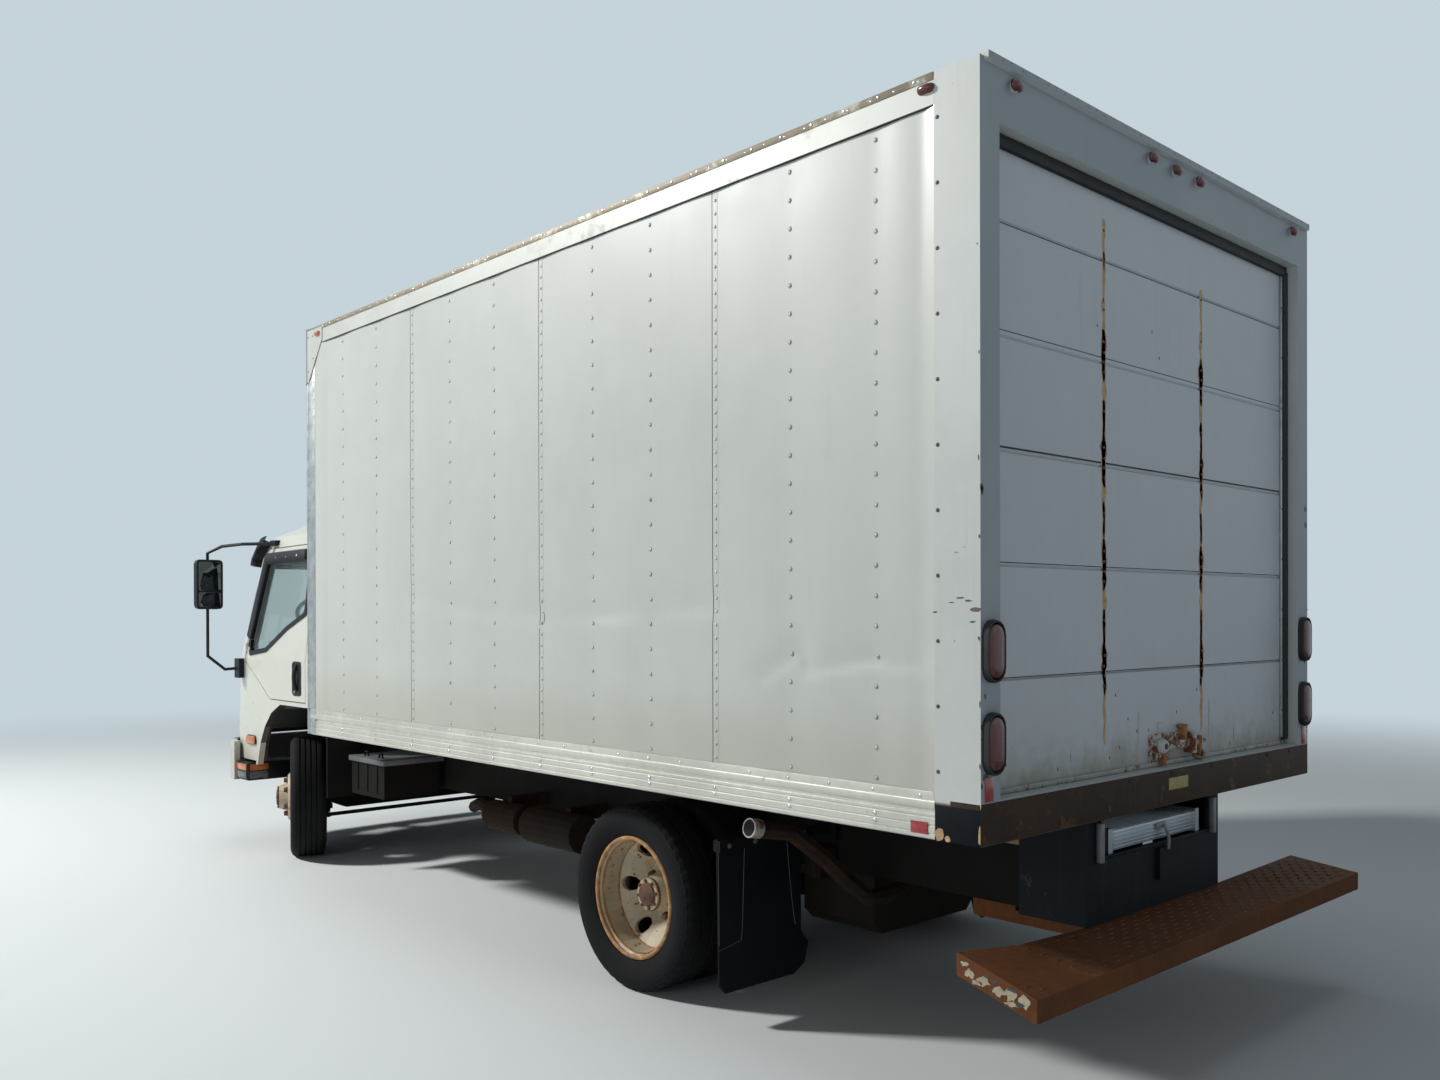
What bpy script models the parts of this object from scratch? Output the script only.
"""Box truck: low forward cab, dry freight body with a roll up door, slide out ramp.

Lengths are metres. Stations along X run forward from the rear face of the body's rear frame,
Y runs to the left from the middle and Z up from the ground. The parent empty then moves the
whole truck so that the middle of its length lies at the origin.
"""
import math

import bpy
import bmesh
from mathutils import Matrix, Vector

# Fits
TOUCH = 0.0003            # gap left between pieces that rest on each other
SHUT = 0.006              # gap round a door
PIN_FIT = 0.0005          # radial clearance of a pin in its eye

# Tyres and wheels
TYRE_R = 0.400
TYRE_W = 0.226
TREAD_HALF = 0.084        # from the middle of the tread to its edge
GROOVE_DEPTH = 0.010
GROOVE_HALF = 0.007
FRONT_GROOVES = 4         # ribbed tyres steer, coarser ones drive
OUTER_GROOVES = 2
INNER_GROOVES = 1
FLANGE_R = 0.262          # rim flange
RIM_W = 0.165
RIM_T = 0.022             # rim barrel's wall
DISC_T = 0.012            # wheel disc
DISC_CROWN = 0.050        # disc's outer bend from the middle of its rim
DISC_SET = 0.128          # disc's mounting face from the middle of its rim
HAND_HOLES = 6
HAND_HOLE_R = 0.034
HOLE_PHASE = 0.043        # share of a pitch that the first hole is turned by
HAND_HOLE_PITCH_R = 0.196
HUB_R = 0.095
DRUM_FRONT_R = 0.130      # brake drums
DRUM_REAR_R = 0.132
DRUM_FRONT_IN = 0.004     # drum's open face from the middle of the rim
DRUM_REAR_IN = 0.030      # the same, inward of the inner rim's middle
WHEEL_SIDES = 28          # facets round a rim and its tyre, the same so that they seat
DUAL_GAP = 0.034          # air between twin tyres

# Axles
REAR_AXLE_X = 1.956
WHEELBASE = 3.810
SPRING_GAP = 0.045        # from a rail's outer face to the rear spring
TYRE_CLEAR = 0.042        # from the rear spring to the inner twin tyre
FRONT_TRACK = 1.660
KINGPIN_IN = 0.115        # kingpin inside the middle of the front wheel
STEER_REST = math.radians(-22.5)   # wheels as they stand, turned to the right
AXLE_TUBE_R = 0.060
SPRING_T = 0.050
SPRING_W = 0.070

# Chassis frame
FRAME_HALF = 0.425        # outer face of a frame rail
RAIL_BOTTOM = 0.530
RAIL_H = 0.230
RAIL_FLANGE = 0.065
RAIL_T = 0.008
FRAME_REAR = 0.360
FRAME_FRONT = 6.580

# Box body
BOX_L = 4.877
BOX_HALF = 1.219
BOX_TOP = 3.324
BOX_BOTTOM = 0.914
WALL = 0.040
FLOOR_TOP = 1.050
FLOOR_T = 0.035
BASE_RAIL_H = 0.151
BASE_RAIL_T = 0.045
TOP_RAIL_H = 0.100
SHEET_INSET = 0.004       # side sheet inside the rails' faces
SILL_PITCH = 0.400
CORNER_STRIP = 0.117      # zinc strip over the front end of a side sheet
CAP_T = 0.004             # corner cap over the top of the nose
CAP_BACK = 0.217
CAP_DOWN = 0.314

# Rear frame and roll up door
POST_W = 0.102
POST_DEPTH = 0.060
STRIP_DEPTH = 0.175       # side strip of a rear post
HEADER_BOTTOM = 3.143
GUTTER_RISE = 0.013
DOOR_T = 0.030
DOOR_PANELS = 6
SEAM = 0.006

# Rear step, ramp and its housing
STEP_REAR = -0.207
STEP_FRONT = 0.080
STEP_PAST = 0.016         # step's ends past the body's sides
STEP_TOP = 0.502
STEP_H = 0.072
STEP_RISE = 0.022         # front edge above the rear edge
HOUSING_REAR = 0.070
HOUSING_HALF = 0.499
HOUSING_T = 0.012
RAMP_CLEAR = 0.080        # from a rail's outer face to the ramp's side
RAMP_H = 0.090
RAMP_L = 2.900
RAMP_TRAVEL = 2.300

# Cab
CAB_REAR = 5.130
CAB_HALF = 1.030
CAB_WALL = 0.055
PANEL_T = 0.028           # front panel under the windscreen
CAB_TOP = 2.245
CAB_NOSE = 6.770          # front of the skin at the pivot's height
FLOOR_CAB = 1.050         # underside of the cab's floor
FOOT_Z = 0.850            # underside of the foot well
ARCH_TOP = 1.050
PIVOT_X = 6.655
PIVOT_Z = 0.800
PIVOT_R = 0.025
BUMPER_FACE = 6.870
BUMPER_TOP = 0.738
BUMPER_BOTTOM = 0.470
BUMPER_T = 0.040
BUMPER_CORNER_X = 6.455   # middle of the bumper's corner curve
BUMPER_CORNER_Y = CAB_HALF - 0.345
BUMPER_CORNER_R = 0.390
BUMPER_IN = BUMPER_CORNER_X + BUMPER_CORNER_R - BUMPER_T   # rear of the bumper in the middle
BUMPER_END_X = 6.450
DOOR_HINGE_X = 6.352
HINGE_IN = 0.010          # hinge pins inside the cab's side
HINGE_Z = (1.330, 1.400)
GLASS_T = 0.006
FRAME_W = 0.024           # width of a door window's frame
FRAME_PROUD = 0.005
DEFLECTOR_PROUD = 0.024
LIP_PROUD = 0.008         # arch lip outside the cab's side

FRONT_AXLE_X = REAR_AXLE_X + WHEELBASE
AXLE_Z = TYRE_R
RAIL_TOP = RAIL_BOTTOM + RAIL_H
DUAL_SPACING = TYRE_W + DUAL_GAP
SPRING_Y = FRAME_HALF + SPRING_GAP + SPRING_W / 2
RAMP_HALF = FRAME_HALF - RAMP_CLEAR
INNER_TYRE_Y = FRAME_HALF + SPRING_GAP + SPRING_W + TYRE_CLEAR   # inner face of the twin tyres
REAR_TRACK = 2 * INNER_TYRE_Y + DUAL_SPACING + TYRE_W           # between the middles of the twin pairs
KINGPIN_Y = FRONT_TRACK / 2 - KINGPIN_IN
STEP_HALF = BOX_HALF + STEP_PAST
ENGINE_HALF = FRAME_HALF - RAIL_FLANGE - 0.030
INSIDE_PIPE_Y = FRAME_HALF - RAIL_FLANGE - 0.075
TUNNEL_HALF = ENGINE_HALF + 0.030
LUG_Y = (FRAME_HALF - 0.125, FRAME_HALF - 0.095)   # cab's tilt lugs on the cross tube
MID_X = (STEP_REAR + BUMPER_FACE) / 2

parts = None
cutters = None
truck = None


# Scene and helpers

def clear_scene():
    for old in list(bpy.data.objects):
        bpy.data.objects.remove(old, do_unlink=True)
    for old in list(bpy.data.collections):
        bpy.data.collections.remove(old)


def make_collections():
    global parts, cutters
    parts = bpy.data.collections.new("box_truck")
    cutters = bpy.data.collections.new("cutters")
    bpy.context.scene.collection.children.link(parts)
    bpy.context.scene.collection.children.link(cutters)


def empty(name, at, parent=None, turn_z=0.0):
    marker = bpy.data.objects.new(name, None)
    marker.empty_display_size = 0.2
    marker.location = at
    marker.rotation_euler = (0.0, 0.0, turn_z)
    marker.parent = parent
    parts.objects.link(marker)
    return marker


def raw_object(name, bm):
    mesh = bpy.data.meshes.new(name)
    bm.normal_update()
    bm.to_mesh(mesh)
    bm.free()
    obj = bpy.data.objects.new(name, mesh)
    cutters.objects.link(obj)
    obj.hide_render = True
    obj.display_type = "WIRE"
    return obj


def block(x, y, z):
    """A box between the low and high values of x, y and z."""
    bm = bmesh.new()
    bmesh.ops.create_cube(bm, size=1.0)
    size = Vector((x[1] - x[0], y[1] - y[0], z[1] - z[0]))
    mid = Vector(((x[1] + x[0]) / 2, (y[1] + y[0]) / 2, (z[1] + z[0]) / 2))
    bmesh.ops.scale(bm, vec=size, verts=bm.verts)
    bmesh.ops.translate(bm, vec=mid, verts=bm.verts)
    return raw_object("block", bm)


def rod(start, end, radius, sides=16, end_radius=None):
    """A round bar, or a cone, from start to end."""
    bm = bmesh.new()
    run = Vector(end) - Vector(start)
    top = radius if end_radius is None else end_radius
    bmesh.ops.create_cone(bm, cap_ends=True, segments=sides, radius1=radius, radius2=top,
                          depth=run.length)
    turn = run.to_track_quat("Z", "Y").to_matrix().to_4x4()
    mid = (Vector(end) + Vector(start)) / 2
    bmesh.ops.transform(bm, matrix=Matrix.Translation(mid) @ turn, verts=bm.verts)
    return raw_object("rod", bm)


def to_mesh(curve_object):
    """Turn a curve object into a mesh object with its caps welded."""
    graph = bpy.context.evaluated_depsgraph_get()
    mesh = bpy.data.meshes.new_from_object(curve_object.evaluated_get(graph))
    bm = bmesh.new()
    bm.from_mesh(mesh)
    bmesh.ops.remove_doubles(bm, verts=bm.verts, dist=0.00001)
    bm.to_mesh(mesh)
    bm.free()
    solid = bpy.data.objects.new(curve_object.name, mesh)
    cutters.objects.link(solid)
    solid.matrix_world = curve_object.matrix_world.copy()
    solid.hide_render = True
    solid.display_type = "WIRE"
    bpy.data.objects.remove(curve_object, do_unlink=True)
    return solid


def pipe(points, radius, sides=2):
    """A tube of round section along straight runs."""
    curve = bpy.data.curves.new("pipe", "CURVE")
    curve.dimensions = "3D"
    curve.bevel_depth = radius
    curve.bevel_resolution = sides
    curve.use_fill_caps = True
    spline = curve.splines.new("POLY")
    spline.points.add(len(points) - 1)
    for point, place in zip(spline.points, points):
        point.co = (place[0], place[1], place[2], 1.0)
    obj = bpy.data.objects.new("pipe", curve)
    cutters.objects.link(obj)
    return to_mesh(obj)


PLANES = {
    "XZ": Matrix(((1, 0, 0, 0), (0, 0, -1, 0), (0, 1, 0, 0), (0, 0, 0, 1))),
    "YZ": Matrix(((0, 0, 1, 0), (1, 0, 0, 0), (0, 1, 0, 0), (0, 0, 0, 1))),
    "XY": Matrix.Identity(4),
}


def plate(outline, plane, low, high):
    """A flat outline, drawn in the named plane, as thick as low to high across it."""
    curve = bpy.data.curves.new("plate", "CURVE")
    curve.dimensions = "2D"
    curve.fill_mode = "BOTH"
    curve.extrude = (high - low) / 2
    spline = curve.splines.new("POLY")
    spline.points.add(len(outline) - 1)
    for point, place in zip(spline.points, outline):
        point.co = (place[0], place[1], 0.0, 1.0)
    spline.use_cyclic_u = True
    obj = bpy.data.objects.new("plate", curve)
    cutters.objects.link(obj)
    middle = (high + low) / 2
    shift = {"XZ": (0, middle, 0), "YZ": (middle, 0, 0), "XY": (0, 0, middle)}[plane]
    obj.matrix_world = Matrix.Translation(shift) @ PLANES[plane]
    bpy.context.view_layer.update()
    solid = to_mesh(obj)
    bm = bmesh.new()
    bm.from_mesh(solid.data)
    bmesh.ops.transform(bm, matrix=solid.matrix_world, verts=bm.verts)
    bmesh.ops.recalc_face_normals(bm, faces=bm.faces)
    bm.to_mesh(solid.data)
    bm.free()
    solid.matrix_world = Matrix.Identity(4)
    return solid


def turned(profile, sides=32, at=(0, 0, 0), axis="Y"):
    """A ring or disc turned from a closed profile of (radius, distance along the axis)."""
    bm = bmesh.new()
    verts = [bm.verts.new((radius, 0.0, along)) for radius, along in profile]
    for first, second in zip(verts, verts[1:] + verts[:1]):
        bm.edges.new((first, second))
    obj = raw_object("turned", bm)
    screw = obj.modifiers.new("turn", "SCREW")
    screw.steps = sides
    screw.render_steps = sides
    screw.use_merge_vertices = True
    screw.merge_threshold = 0.00001
    bake(obj)
    bm = bmesh.new()
    bm.from_mesh(obj.data)
    bmesh.ops.remove_doubles(bm, verts=bm.verts, dist=0.00001)
    turn = {"Y": Matrix.Rotation(-math.pi / 2, 4, "X"), "X": Matrix.Rotation(math.pi / 2, 4, "Y"),
            "Z": Matrix.Identity(4)}[axis]
    bmesh.ops.transform(bm, matrix=Matrix.Translation(at) @ turn, verts=bm.verts)
    bmesh.ops.recalc_face_normals(bm, faces=bm.faces)
    bm.to_mesh(obj.data)
    bm.free()
    return obj


def loft(sections):
    """A closed body through level outlines with the same number of points."""
    bm = bmesh.new()
    rings = []
    for height, outline in sections:
        rings.append([bm.verts.new((x, y, height)) for x, y in outline])
    count = len(rings[0])
    for lower, upper in zip(rings, rings[1:]):
        for i in range(count):
            j = (i + 1) % count
            bm.faces.new((lower[i], lower[j], upper[j], upper[i]))
    bm.faces.new(list(reversed(rings[0])))
    bm.faces.new(rings[-1])
    bmesh.ops.recalc_face_normals(bm, faces=bm.faces)
    return raw_object("loft", bm)


def bake(obj):
    """Apply an object's modifiers."""
    graph = bpy.context.evaluated_depsgraph_get()
    mesh = bpy.data.meshes.new_from_object(obj.evaluated_get(graph))
    obj.modifiers.clear()
    obj.data = mesh
    return obj


def boolean(obj, tool, operation, keep=False):
    change = obj.modifiers.new("change", "BOOLEAN")
    change.operation = operation
    change.object = tool
    change.solver = "EXACT"
    bake(obj)
    if not keep:
        bpy.data.objects.remove(tool, do_unlink=True)
    return obj


def fuse(pieces):
    body = pieces[0]
    for piece in pieces[1:]:
        boolean(body, piece, "UNION")
    return body


def cut(body, tools):
    for tool in tools:
        boolean(body, tool, "DIFFERENCE")
    return body


def copy_of(obj):
    twin = obj.copy()
    twin.data = obj.data.copy()
    cutters.objects.link(twin)
    return twin


def mirrored(obj):
    """A copy of a piece on the other side of the truck."""
    twin = copy_of(obj)
    bm = bmesh.new()
    bm.from_mesh(twin.data)
    bmesh.ops.scale(bm, vec=(1, -1, 1), verts=bm.verts)
    bmesh.ops.reverse_faces(bm, faces=bm.faces)
    bm.to_mesh(twin.data)
    bm.free()
    return twin


def moved(obj, by):
    bm = bmesh.new()
    bm.from_mesh(obj.data)
    bmesh.ops.translate(bm, vec=by, verts=bm.verts)
    bm.to_mesh(obj.data)
    bm.free()
    return obj


def paint(name, colour, roughness, metallic=0.0, alpha=1.0):
    material = bpy.data.materials.new(name)
    material.use_nodes = True
    shader = material.node_tree.nodes["Principled BSDF"]
    shader.inputs["Base Color"].default_value = (colour[0], colour[1], colour[2], 1.0)
    shader.inputs["Roughness"].default_value = roughness
    shader.inputs["Metallic"].default_value = metallic
    shader.inputs["Alpha"].default_value = alpha
    return material


FINISHES = {
    "white": ((0.72, 0.74, 0.70), 0.4, 0.0),
    "cab_white": ((0.74, 0.75, 0.69), 0.3, 0.0),
    "aluminium": ((0.70, 0.70, 0.68), 0.35, 1.0),
    "steel": ((0.05, 0.045, 0.04), 0.6, 0.4),
    "rust": ((0.13, 0.06, 0.03), 0.8, 0.2),
    "black": ((0.015, 0.015, 0.016), 0.5, 0.0),
    "rubber": ((0.02, 0.02, 0.021), 0.75, 0.0),
    "cream": ((0.62, 0.54, 0.38), 0.55, 0.0),
    "glass": ((0.10, 0.12, 0.12), 0.05, 0.0),
    "lamp": ((0.75, 0.78, 0.80), 0.1, 0.0),
    "cloth": ((0.12, 0.12, 0.13), 0.9, 0.0),
}


def finish(obj, name, look, parent=None, at=None, smooth=True):
    """Name a finished piece, give it its material and hang it from its parent."""
    obj.name = name
    obj.data.name = name
    cutters.objects.unlink(obj)
    parts.objects.link(obj)
    obj.hide_render = False
    obj.display_type = "TEXTURED"
    colour, roughness, metallic = FINISHES[look]
    obj.data.materials.clear()
    obj.data.materials.append(paint(name, colour, roughness, metallic))
    if smooth:
        obj.data.shade_smooth()
        obj.data.set_sharp_from_angle(angle=math.radians(35))
    holder = parent or truck
    obj.parent = holder
    if at is not None:
        obj.location = at
    elif holder is not truck:
        bpy.context.view_layer.update()
        own = truck.matrix_world.inverted() @ holder.matrix_world
        obj.matrix_parent_inverse = own.inverted()
    return obj


# Chassis

def rail_section(side):
    """A channel's outline, open towards the middle of the truck."""
    out = FRAME_HALF * side
    lip = (FRAME_HALF - RAIL_FLANGE) * side
    web = (FRAME_HALF - RAIL_T) * side
    return [(out, RAIL_BOTTOM), (out, RAIL_TOP), (lip, RAIL_TOP), (lip, RAIL_TOP - RAIL_T),
            (web, RAIL_TOP - RAIL_T), (web, RAIL_BOTTOM + RAIL_T), (lip, RAIL_BOTTOM + RAIL_T),
            (lip, RAIL_BOTTOM)]


def cross_member(x, bottom, top, width=0.07):
    reach = FRAME_HALF - RAIL_T / 2
    return block((x - width / 2, x + width / 2), (-reach, reach), (bottom, top))


def chassis_frame():
    pieces = [block((FRAME_REAR, FRAME_REAR + 0.05), (-FRAME_HALF + 0.004, FRAME_HALF - 0.004),
                    (RAIL_BOTTOM + 0.004, RAIL_TOP - 0.004))]
    for side in (1, -1):
        pieces.append(plate(rail_section(side), "YZ", FRAME_REAR, FRAME_FRONT))
    low = RAIL_BOTTOM + 0.004
    high = RAIL_TOP - 0.004
    for x, bottom, top in ((1.60, 0.70, high), (2.45, 0.70, high), (3.45, 0.66, high), (4.35, 0.66, high),
                           (FRAME_FRONT - 0.06, low, high)):
        pieces.append(cross_member(x, bottom, top))
    pieces += cab_support()
    pieces += pivot_carriers()
    return finish(fuse(pieces), "chassis_frame", "steel")


def cab_support():
    """The arch behind the engine that carries the cab's rear, with the front splash guards."""
    pieces = []
    front = CAB_REAR + 0.105
    beam_top = FLOOR_CAB - TOUCH
    pieces.append(block((CAB_REAR + 0.02, front), (-0.86, 0.86), (beam_top - 0.08, beam_top)))
    for side in (1, -1):
        out = FRAME_HALF * side + 0.03 * side
        inner = (FRAME_HALF - 0.06) * side
        pieces.append(block((CAB_REAR + 0.025, front - 0.005), tuple(sorted((out, inner))),
                            (RAIL_TOP - 0.05, beam_top - 0.01)))
        guard = tuple(sorted((0.56 * side, 0.95 * side)))
        pieces.append(block((front - 0.02, front - 0.008), guard, (0.46, beam_top - 0.02)))
    return pieces


def pivot_carriers():
    """The cross tube that the cab tilts on, and the arms that hold it."""
    reach = FRAME_HALF + 0.005
    pieces = [rod((PIVOT_X, -reach, PIVOT_Z), (PIVOT_X, reach, PIVOT_Z), PIVOT_R, 20)]
    for side in (1, -1):
        ear = [(PIVOT_X + 0.034, PIVOT_Z - 0.012), (PIVOT_X + 0.034, PIVOT_Z + 0.012),
               (PIVOT_X + 0.012, PIVOT_Z + 0.034), (PIVOT_X - 0.012, PIVOT_Z + 0.034),
               (FRAME_FRONT - 0.08, RAIL_TOP - 0.01), (FRAME_FRONT - 0.08, RAIL_TOP - 0.10),
               (PIVOT_X + 0.012, PIVOT_Z - 0.034)]
        pieces.append(plate(ear, "XZ",
                            *sorted(((FRAME_HALF - 0.030) * side, (FRAME_HALF - 0.004) * side))))
        horn = tuple(sorted(((FRAME_HALF - 0.05) * side, (FRAME_HALF - 0.002) * side)))
        pieces.append(block((FRAME_FRONT - 0.06, BUMPER_IN - TOUCH), horn, (0.56, 0.64)))
    return pieces


def leaf_spring(x, y, z, half_length):
    """A leaf pack with its eyes, hangers up to the frame and the seat on the axle."""
    low = y - SPRING_W / 2
    high = y + SPRING_W / 2
    steps = 6
    top = []
    base = []
    for i in range(steps + 1):
        u = -1 + 2 * i / steps
        rise = 0.055 * u * u
        top.append((x + u * half_length, z + rise + SPRING_T * 0.5))
        base.append((x + u * half_length, z + rise - SPRING_T * (0.5 - 0.32 * u * u)))
    return plate(base + list(reversed(top)), "XZ", low, high)


def spring_hangers(x, y, z, half_length, web):
    """Bracket plates at both ends of a spring, against the rail's web."""
    pieces = []
    out = y + SPRING_W / 2 - 0.004
    near = web + TOUCH if y > 0 else web
    for end in (-1, 1):
        middle = x + end * (half_length - 0.02)
        pieces.append(block((middle - 0.045, middle + 0.045), (near, out),
                            (z + 0.02, RAIL_BOTTOM + 0.10)))
    return pieces


def rear_axle():
    end = REAR_TRACK / 2 - DUAL_SPACING / 2 - DRUM_REAR_IN - PIN_FIT
    tube = rod((REAR_AXLE_X, -end, AXLE_Z), (REAR_AXLE_X, end, AXLE_Z), AXLE_TUBE_R, 20)
    ball = rod((REAR_AXLE_X + 0.17, 0, AXLE_Z), (REAR_AXLE_X - 0.13, 0, AXLE_Z), 0.165, 20, 0.14)
    nose = rod((REAR_AXLE_X + 0.34 + 0.0037, 0, AXLE_Z + 0.02), (REAR_AXLE_X + 0.10, 0, AXLE_Z + 0.02),
               0.055, 16, 0.12)
    pieces = [tube, ball, nose]
    for side in (1, -1):
        spring = leaf_spring(REAR_AXLE_X, SPRING_Y, AXLE_Z + 0.085, 0.62)
        seat = (SPRING_Y - SPRING_W / 2 - 0.010, SPRING_Y + SPRING_W / 2 + 0.010)
        parts_of_side = [spring, block((REAR_AXLE_X - 0.075, REAR_AXLE_X + 0.075), seat,
                                       (AXLE_Z - 0.08, AXLE_Z + 0.125))]
        parts_of_side += spring_hangers(REAR_AXLE_X, SPRING_Y, AXLE_Z + 0.085, 0.62, FRAME_HALF)
        if side < 0:
            flipped = [mirrored(piece) for piece in parts_of_side]
            for piece in parts_of_side:
                bpy.data.objects.remove(piece, do_unlink=True)
            parts_of_side = flipped
        pieces += parts_of_side
    return finish(fuse(pieces), "rear_axle", "rust")


BEAM_DROP = 0.050
BOSS_R = 0.036
BOSS_HALF = 0.060
EAR_T = 0.032


def front_axle():
    top = AXLE_Z + 0.035 - BEAM_DROP
    low = AXLE_Z - 0.045 - BEAM_DROP
    beam = [(-KINGPIN_Y, AXLE_Z - 0.040), (-KINGPIN_Y + 0.13, low), (KINGPIN_Y - 0.13, low),
            (KINGPIN_Y, AXLE_Z - 0.040), (KINGPIN_Y, AXLE_Z + 0.040), (KINGPIN_Y - 0.13, top),
            (-KINGPIN_Y + 0.13, top), (-KINGPIN_Y, AXLE_Z + 0.040)]
    pieces = [plate(beam, "YZ", FRONT_AXLE_X - 0.033, FRONT_AXLE_X + 0.033)]
    for side in (1, -1):
        y = KINGPIN_Y * side
        pieces.append(rod((FRONT_AXLE_X, y, AXLE_Z - BOSS_HALF), (FRONT_AXLE_X, y, AXLE_Z + BOSS_HALF),
                          BOSS_R, 20))
    for side in (1, -1):
        spring_y = FRAME_HALF - SPRING_W / 2 - 0.01
        spring_z = top + SPRING_T / 2 + 0.01
        group = [leaf_spring(FRONT_AXLE_X, spring_y, spring_z, 0.58),
                 block((FRONT_AXLE_X - 0.06, FRONT_AXLE_X + 0.06), (spring_y - 0.045, spring_y + 0.045),
                       (top - 0.03, spring_z + 0.035))]
        for end in (-1, 1):
            middle = FRONT_AXLE_X + end * 0.56
            group.append(block((middle - 0.04, middle + 0.04), (spring_y - 0.03, spring_y + 0.03),
                               (spring_z + 0.03, RAIL_BOTTOM - TOUCH)))
        if side < 0:
            flipped = [mirrored(piece) for piece in group]
            for piece in group:
                bpy.data.objects.remove(piece, do_unlink=True)
            group = flipped
        pieces += group
    return finish(fuse(pieces), "front_axle", "steel")


def propeller_shaft():
    back = REAR_AXLE_X + 0.34 + 0.004
    front = GEARBOX_REAR - TOUCH
    low = AXLE_Z + 0.02
    high = 0.60
    pieces = [rod((back + 0.05, 0, low), (front - 0.05, 0, high), 0.038, 14),
              rod((back, 0, low), (back + 0.11, 0, low), 0.052, 14),
              rod((front - 0.11, 0, high), (front, 0, high), 0.052, 14)]
    return finish(fuse(pieces), "propeller_shaft", "steel")


GEARBOX_REAR = 4.550
ENGINE_X = (CAB_REAR + 0.13, 6.06)
ENGINE_TOP = 1.200


def engine():
    pieces = [block(ENGINE_X, (-ENGINE_HALF, ENGINE_HALF), (0.50, ENGINE_TOP)),
              block((GEARBOX_REAR, ENGINE_X[0] + 0.02), (-0.20, 0.20), (0.46, 0.82))]
    return finish(fuse(pieces), "engine_block", "steel")


TANK_X = (1.175, 1.590)
TANK_BOTTOM = 0.257
TANK_TOP = 0.565
FLAP_X = 1.350


def fuel_tank():
    reach = FRAME_HALF - RAIL_FLANGE - 0.012
    outline = [(-reach, TANK_BOTTOM + 0.05), (-reach + 0.05, TANK_BOTTOM), (reach - 0.05, TANK_BOTTOM),
               (reach, TANK_BOTTOM + 0.05), (reach, TANK_TOP), (-reach, TANK_TOP)]
    pieces = [plate(outline, "YZ", *TANK_X)]
    web = FRAME_HALF - RAIL_T - TOUCH
    for x in (TANK_X[0] + 0.08, TANK_X[1] - 0.08):
        pieces.append(block((x - 0.025, x + 0.025), (-web, web),
                            (RAIL_BOTTOM + RAIL_T + 0.008, TANK_TOP + 0.006)))
    return finish(fuse(pieces), "fuel_tank", "rust")


def exhaust():
    """Catalyst and silencer beside the left rail, and the pipe over the axle to its bright tip."""
    y = FRAME_HALF + 0.235
    z = 0.505
    inside = INSIDE_PIPE_Y
    web = FRAME_HALF
    pieces = [rod((2.84, y, z), (3.30, y, z), 0.098, 16),
              rod((3.38, y, z + 0.005), (3.70, y, z + 0.005), 0.082, 16),
              rod((3.24, y, z), (3.45, y, z), 0.048, 12),
              pipe([(3.64, y, z), (3.95, y - 0.06, z + 0.03), (4.22, web + 0.055, 0.47),
                    (4.36, inside + 0.025, 0.47),
                    (4.42, inside - 0.045, 0.50)], 0.036)]
    route = [(2.92, y, z), (2.76, web + 0.155, 0.465), (2.68, web + 0.015, 0.455),
             (2.50, inside - 0.005, 0.50),
             (2.26, inside - 0.020, 0.630), (1.62, inside, 0.634), (1.18, inside, 0.630),
             (1.09, inside, 0.560),
             (1.06, inside + 0.025, 0.475), (1.06, web - 0.015, 0.460), (1.06, web + 0.095, 0.465),
             (1.08, web + 0.215, 0.560), (1.10, web + 0.325, 0.66), (1.13, BOX_HALF - 0.319, 0.775),
             (1.14, BOX_HALF - 0.109, 0.815)]
    pieces.append(pipe(route, 0.036))
    for x in (2.98, 3.54):
        pieces.append(block((x - 0.02, x + 0.02), (FRAME_HALF + TOUCH, y), (z + 0.05, z + 0.12)))
    return finish(fuse(pieces), "exhaust", "rust")


def battery_box():
    low = FRAME_HALF + TOUCH
    pieces = [block((4.66, 5.10), (low + 0.05, 0.84), (0.50, 0.73)),
              block((4.70, 5.06), (low, low + 0.06), (0.56, 0.70)),
              block((4.645, 5.115), (low + 0.04, 0.853), (0.705, 0.735))]
    for x in (4.76, 4.95):
        eye = [(x, 0.80, 0.730), (x + 0.008, 0.80, 0.765), (x + 0.042, 0.80, 0.765),
               (x + 0.05, 0.80, 0.730)]
        pieces.append(pipe(eye, 0.007, 1))
    return finish(fuse(pieces), "battery_box", "black")


def mud_flap(side):
    x = FLAP_X
    near = INNER_TYRE_Y - 0.007
    out = BOX_HALF - 0.129
    outline = [(near + 0.025, 0.16), (near + 0.085, 0.125), (out - 0.04, 0.125), (out - 0.01, 0.16),
               (out, 0.74),
               (near + 0.045, 0.74), (near + 0.045, 0.30), (near, 0.24)]
    flap = plate(outline, "YZ", x - 0.004, x + 0.004)
    bar = block((x - 0.02, x + 0.02), (FRAME_HALF + TOUCH, out), (0.69, 0.735))
    foot = block((x - 0.05, x + 0.05), (FRAME_HALF + TOUCH, FRAME_HALF + 0.03), (0.66, 0.745))
    body = fuse([bar, flap, foot])
    if side < 0:
        left = body
        body = mirrored(left)
        bpy.data.objects.remove(left, do_unlink=True)
    return finish(body, "mud_flap_left" if side > 0 else "mud_flap_right", "rubber")


def bumper_outline(corner, front):
    """Half of the bumper's plan, from the side round the corner to the middle."""
    points = [(BUMPER_END_X, BUMPER_CORNER_Y + corner)]
    for i in range(6):
        a = math.pi / 2 * i / 5
        points.append((BUMPER_CORNER_X + corner * math.sin(a), BUMPER_CORNER_Y + corner * math.cos(a)))
    points.append((front, 0.0))
    return points


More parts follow.
